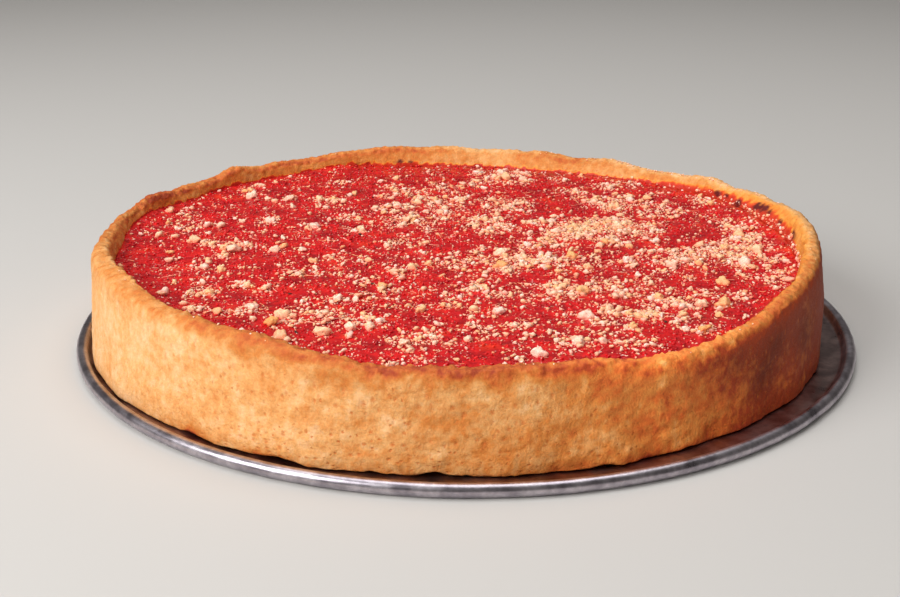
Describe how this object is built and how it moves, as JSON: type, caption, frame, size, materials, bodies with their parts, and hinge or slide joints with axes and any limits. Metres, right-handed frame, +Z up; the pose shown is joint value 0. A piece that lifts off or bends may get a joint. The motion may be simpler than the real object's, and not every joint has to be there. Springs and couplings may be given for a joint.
{
  "type": "deep dish pizza on a round metal tray",
  "caption": "Whole uncut deep dish pizza: tall golden crust filled with tomato sauce and crumbled cheese, standing on a flat round aluminium tray with a rolled edge.",
  "frame": {"origin": "middle of the tray's flat underside", "axes": "+Z up out of the tray; +X to the right and +Y away from the lower side of the rim, both in the plane that the tray rests on"},
  "size_m": [0.3276, 0.3276, 0.0471],
  "materials": {
    "tray": "spun sheet aluminium, satin with fine wear",
    "crust": "baked golden crust, matt with small pores",
    "filling": "moist tomato sauce with cream coloured cheese crumbs"
  },
  "bodies": {
    "root": {"tray": "tray", "crust": "crust", "filling": "filling"}
  },
  "joints": []
}
